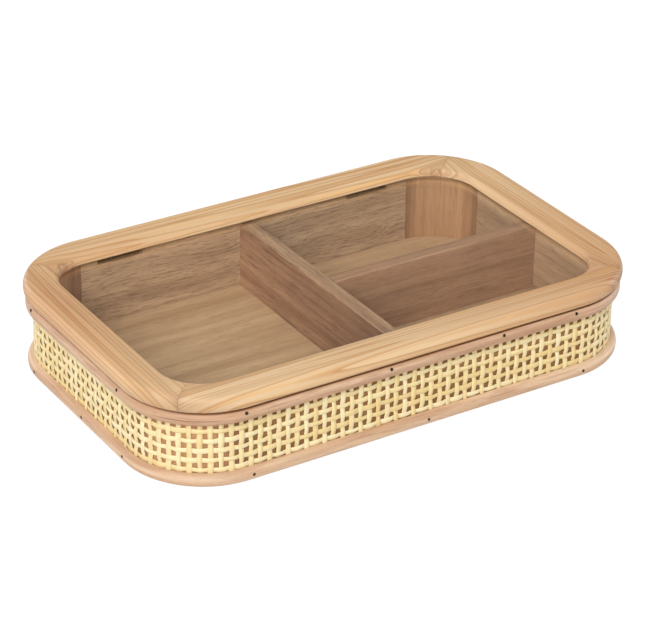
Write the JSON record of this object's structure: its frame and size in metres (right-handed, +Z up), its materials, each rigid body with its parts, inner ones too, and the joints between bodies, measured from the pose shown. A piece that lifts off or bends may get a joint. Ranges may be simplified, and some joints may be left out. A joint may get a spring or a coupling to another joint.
{
  "type": "jewellery box",
  "caption": "Shallow wooden jewellery box with rounded corners, woven cane sides between rattan trims, a divided tray and a hinged lid framing a pane of glass.",
  "frame": {"origin": "middle of the underside, on the surface that the box stands on", "axes": "+X along the long side to the right as seen from the front, +Y from the front to the hinges, +Z up"},
  "size_m": [0.3, 0.193, 0.0524],
  "materials": {
    "lid_wood": "light tan softwood, satin, grain along each rail",
    "tray_wood": "brown-grey bare wood, matt, grain along each board",
    "block_wood": "warm brown bare wood, matt, upright grain",
    "base_wood": "tan bare wood, matt, grain from end to end",
    "rattan": "pinkish tan half-round rattan, satin, fibres along the strip",
    "cane": "pale yellow cane, semi-gloss, fibres along each strand",
    "glass": "clear, polished",
    "hinge_brass": "darkened brass, satin"
  },
  "bodies": {
    "tray": {"base_panel": "base_wood", "wall_back": "tray_wood", "wall_left": "tray_wood", "wall_front": "tray_wood", "wall_right": "tray_wood", "corner_block_back_right": "block_wood", "corner_block_back_left": "block_wood", "corner_block_front_left": "block_wood", "corner_block_front_right": "block_wood", "cross_divider": "tray_wood", "short_divider": "tray_wood", "top_trim": "rattan", "bottom_trim": "rattan", "cane_uprights": "cane", "cane_strand_1": "cane", "cane_strand_2": "cane", "cane_strand_3": "cane", "cane_strand_4": "cane", "cane_strand_5": "cane", "hinge_left_box_leaf": "hinge_brass", "hinge_left_pin": "hinge_brass", "hinge_right_box_leaf": "hinge_brass", "hinge_right_pin": "hinge_brass"},
    "lid": {"lid_rail_back": "lid_wood", "lid_rail_left": "lid_wood", "lid_rail_front": "lid_wood", "lid_rail_right": "lid_wood", "glass_panel": "glass", "hinge_left_lid_leaf": "hinge_brass", "hinge_right_lid_leaf": "hinge_brass"}
  },
  "joints": [
    {"name": "lid_hinge", "type": "hinge", "parent": "tray", "child": "lid", "pos_m": [0, 0.0936, 0.0407], "axis": [-1, 0, 0], "range_deg": [0, 105]}
  ]
}
